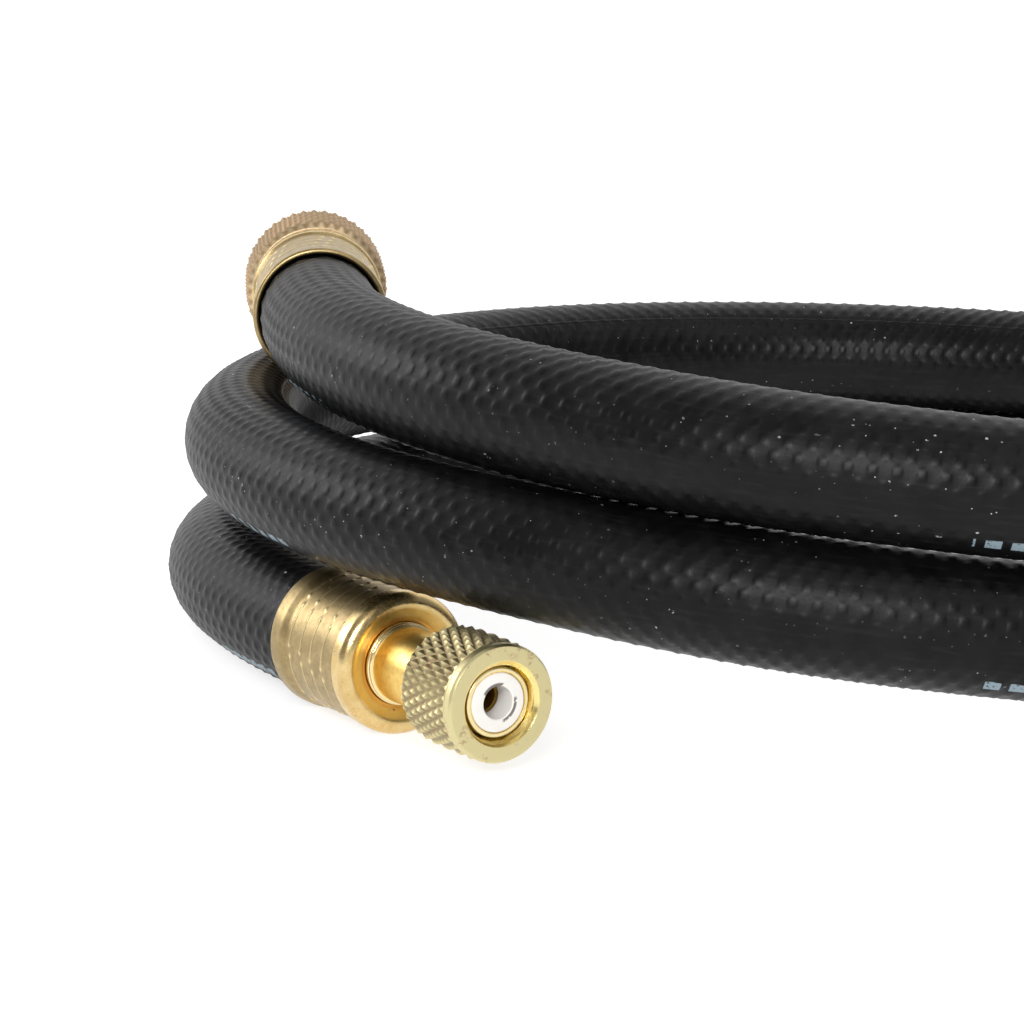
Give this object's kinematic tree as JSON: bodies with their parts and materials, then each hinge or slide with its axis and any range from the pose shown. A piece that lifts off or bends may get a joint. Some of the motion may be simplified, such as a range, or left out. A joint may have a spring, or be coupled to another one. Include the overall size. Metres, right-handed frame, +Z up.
{
  "type": "flexible gas hose",
  "caption": "Flexible black gas hose in a loose coil, with a crimped brass coupling, white seal and knurled hand-tight swivel nut on each end.",
  "frame": {"origin": "on the floor under the middle of the box that holds the two couplings", "axes": "+Z up; +X towards the coil's centre; the small coupling is at -Y and the large one at +Y"},
  "size_m": [0.2062, 0.2085, 0.0602],
  "materials": {
    "hose_rubber": "semi-matte black rubber with a raised braid imprint",
    "textile_braid": "woven polyester reinforcement",
    "liner_rubber": "smooth black rubber",
    "gold_brass": "bright yellow passivated brass",
    "pale_brass": "pale satin brass",
    "spring_steel": "drawn spring wire",
    "white_nylon": "white moulded nylon"
  },
  "bodies": {
    "root": {"hose_cover": "hose_rubber", "hose_braid": "textile_braid", "hose_liner": "liner_rubber", "small_ferrule": "gold_brass", "small_stem": "gold_brass", "small_seal": "white_nylon", "large_ferrule": "gold_brass", "large_stem": "gold_brass", "large_seal": "white_nylon"},
    "small_keeper": {"small_keeper_ring": "spring_steel"},
    "small_swivel": {"small_nut": "pale_brass"},
    "large_keeper": {"large_keeper_ring": "spring_steel"},
    "large_swivel": {"large_nut": "pale_brass"}
  },
  "joints": [
    {"name": "small_nut_slide", "type": "slide", "parent": "root", "child": "small_keeper", "axis": [0.529, -0.8486, 0], "range_m": [-0.0005, 0.004]},
    {"name": "small_nut_spin", "type": "hinge", "parent": "small_keeper", "child": "small_swivel", "pos_m": [0.01172, -0.0463, 0.00995], "axis": [0.529, -0.8486, 0], "continuous": true},
    {"name": "large_nut_slide", "type": "slide", "parent": "root", "child": "large_keeper", "axis": [-0.0779, 0.9968, 0.0192], "range_m": [-0.0005, 0.005]},
    {"name": "large_nut_spin", "type": "hinge", "parent": "large_keeper", "child": "large_swivel", "pos_m": [-0.012, 0.04792, 0.04913], "axis": [-0.0779, 0.9968, 0.0192], "continuous": true}
  ]
}
